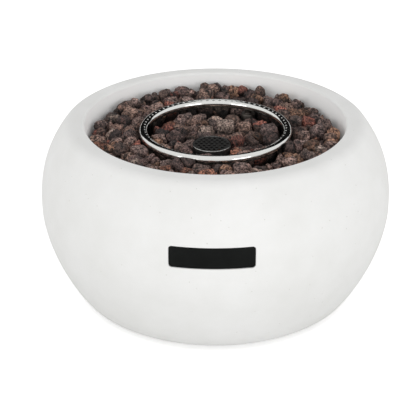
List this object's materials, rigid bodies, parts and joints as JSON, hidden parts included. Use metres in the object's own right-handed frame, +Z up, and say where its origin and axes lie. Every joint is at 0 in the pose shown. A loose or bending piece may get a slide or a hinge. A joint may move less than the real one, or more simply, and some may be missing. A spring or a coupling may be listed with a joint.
{
  "type": "tabletop gas fire pit",
  "caption": "Round white cast bowl with a ring gas burner set in lava rock, a perforated flame guard, a plain dark front plate and rear gas controls.",
  "frame": {"origin": "on the surface it stands on, under the bowl's centre", "axes": "+Z up along the bowl's axis, -Y to the front plate, +Y to the rear controls"},
  "size_m": [0.4705, 0.4694, 0.241],
  "materials": {
    "aluminium": "soft drawn tube",
    "black_knob": "black moulded knob, fine matte",
    "black_moulding": "black moulded plastic, satin",
    "black_rubber": "moulded rubber",
    "black_steel": "black powder coat on steel sheet",
    "brass": "machined brass",
    "ceramic": "white unglazed ceramic",
    "copper_brass": "copper",
    "dark_steel": "perforated steel, heat darkened, bright rolled rim",
    "lava_rock": "porous broken lava, dark grey-brown to rust",
    "lead_rubber": "black silicone insulation",
    "pan_steel": "stainless sheet and tube, plain mill finish",
    "polished_stainless": "polished stainless steel tube",
    "red_button": "red moulded button",
    "spring_steel": "spring wire",
    "white_concrete": "cast fibre concrete, fine matte, painted white",
    "zinc_steel": "zinc-plated steel"
  },
  "bodies": {
    "bowl": {"air_shutter": "pan_steel", "base_plate": "black_steel", "base_screws": "zinc_steel", "bowl_shell": "white_concrete", "burner_pan": "pan_steel", "burner_ring": "polished_stainless", "button_spring": "spring_steel", "control_panel": "black_steel", "electrode_ceramic": "ceramic", "electrode_rod": "pan_steel", "feed_nuts": "zinc_steel", "flame_sensor": "copper_brass", "foot_screws": "zinc_steel", "front_plate": "black_moulding", "gas_tube": "aluminium", "guard_cup": "dark_steel", "guard_lid": "dark_steel", "igniter_body": "black_moulding", "igniter_nut": "black_moulding", "ignition_lead": "lead_rubber", "injector": "brass", "inlet_fitting": "brass", "inlet_nut": "brass", "lava_rock_inner": "lava_rock", "lava_rock_outer": "lava_rock", "leg_screws": "zinc_steel", "mixer_tube": "pan_steel", "pan_screws": "zinc_steel", "panel_screws": "zinc_steel", "ring_legs": "pan_steel", "rubber_foot_front_left": "black_rubber", "rubber_foot_front_right": "black_rubber", "rubber_foot_rear_left": "black_rubber", "rubber_foot_rear_right": "black_rubber", "sensor_lead": "copper_brass", "tube_nuts": "brass", "valve_body": "brass", "valve_screws": "zinc_steel"},
    "spindle": {"valve_plug": "brass", "stem_spring": "spring_steel"},
    "knob": {"control_knob": "black_knob", "valve_stem": "zinc_steel"},
    "button": {"igniter_button": "red_button"}
  },
  "joints": [
    {"name": "knob_turn", "type": "hinge", "parent": "bowl", "child": "spindle", "pos_m": [0.044, 0.2, 0.12], "axis": [0, 1, 0], "range_deg": [0, 180]},
    {"name": "knob_push", "type": "slide", "parent": "spindle", "child": "knob", "axis": [0, -1, 0], "range_m": [0, 0.003], "stiffness_N_per_m": 1500, "springref_m": -0.002, "deforming": ["stem_spring"]},
    {"name": "igniter_push", "type": "slide", "parent": "bowl", "child": "button", "axis": [0, -1, 0], "range_m": [0, 0.006], "stiffness_N_per_m": 1200, "springref_m": -0.002, "deforming": ["button_spring"]}
  ]
}
